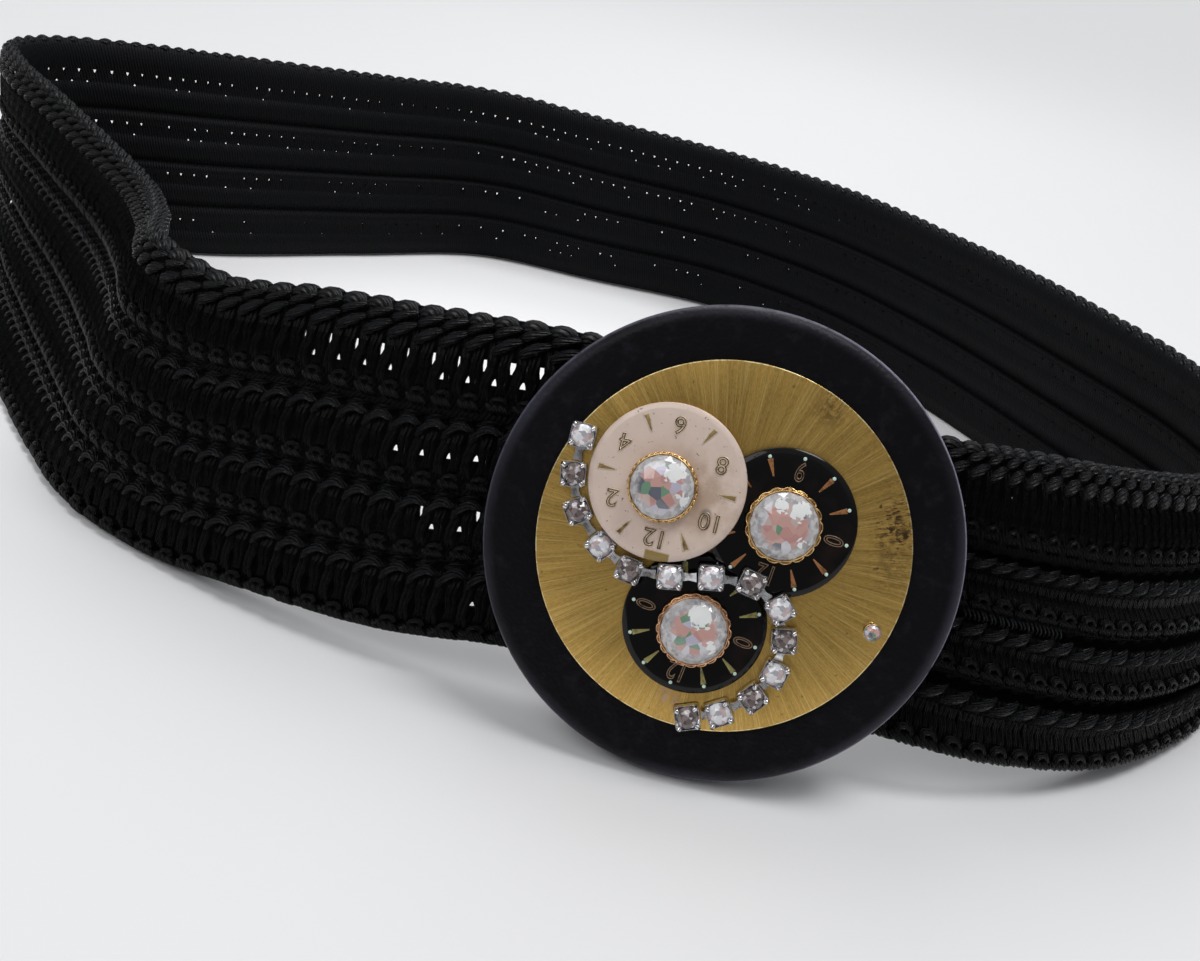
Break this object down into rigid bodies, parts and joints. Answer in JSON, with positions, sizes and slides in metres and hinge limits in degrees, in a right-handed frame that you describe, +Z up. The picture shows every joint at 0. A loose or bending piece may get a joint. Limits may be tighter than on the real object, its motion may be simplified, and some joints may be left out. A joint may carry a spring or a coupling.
{
  "type": "stretch belt with medallion buckle",
  "caption": "Wide ribbed crochet cord stretch belt standing as a fastened loop, with a round leather-rimmed medallion buckle set with watch dials, cut stones and a cup chain.",
  "frame": {"origin": "on the ground, below the middle of the belt's own box", "axes": "+X to the right along the medallion as it is seen, +Y from the medallion to the back of the loop, +Z up"},
  "size_m": [0.3234, 0.2384, 0.0728],
  "materials": {
    "cord": "black rayon cord, crocheted, with a soft gloss on each stitch",
    "leather": "black leather with a fine grain, half matt",
    "sunray": "brushed in rays from the middle, a little tarnished",
    "steel": "plain",
    "black_dial": "glossy black enamel with copper-coloured marks",
    "white_dial": "satin silver white with raised gold-edged marks",
    "setting": "polished, with a lace edge",
    "cup": "bright silver, a little dull",
    "stone": "clear cut glass, foiled behind"
  },
  "bodies": {
    "root": {"band": "cord", "leather_disc": "leather", "sunray_disc": "sunray", "clasp_plate": "steel", "black_dial_lower": "black_dial", "black_dial_right": "black_dial", "white_dial": "white_dial", "stone_setting_lower": "setting", "stone_setting_right": "setting", "stone_setting_white": "setting", "stone_lower": "stone", "stone_right": "stone", "stone_white": "stone", "rim_stone": "stone", "chain_cup_01": "cup", "chain_cup_02": "cup", "chain_cup_03": "cup", "chain_cup_04": "cup", "chain_cup_05": "cup", "chain_cup_06": "cup", "chain_cup_07": "cup", "chain_cup_08": "cup", "chain_cup_09": "cup", "chain_cup_10": "cup", "chain_cup_11": "cup", "chain_cup_12": "cup", "chain_cup_13": "cup", "chain_cup_14": "cup", "chain_stone_01": "stone", "chain_stone_02": "stone", "chain_stone_03": "stone", "chain_stone_04": "stone", "chain_stone_05": "stone", "chain_stone_06": "stone", "chain_stone_07": "stone", "chain_stone_08": "stone", "chain_stone_09": "stone", "chain_stone_10": "stone", "chain_stone_11": "stone", "chain_stone_12": "stone", "chain_stone_13": "stone", "chain_stone_14": "stone"}
  },
  "joints": []
}
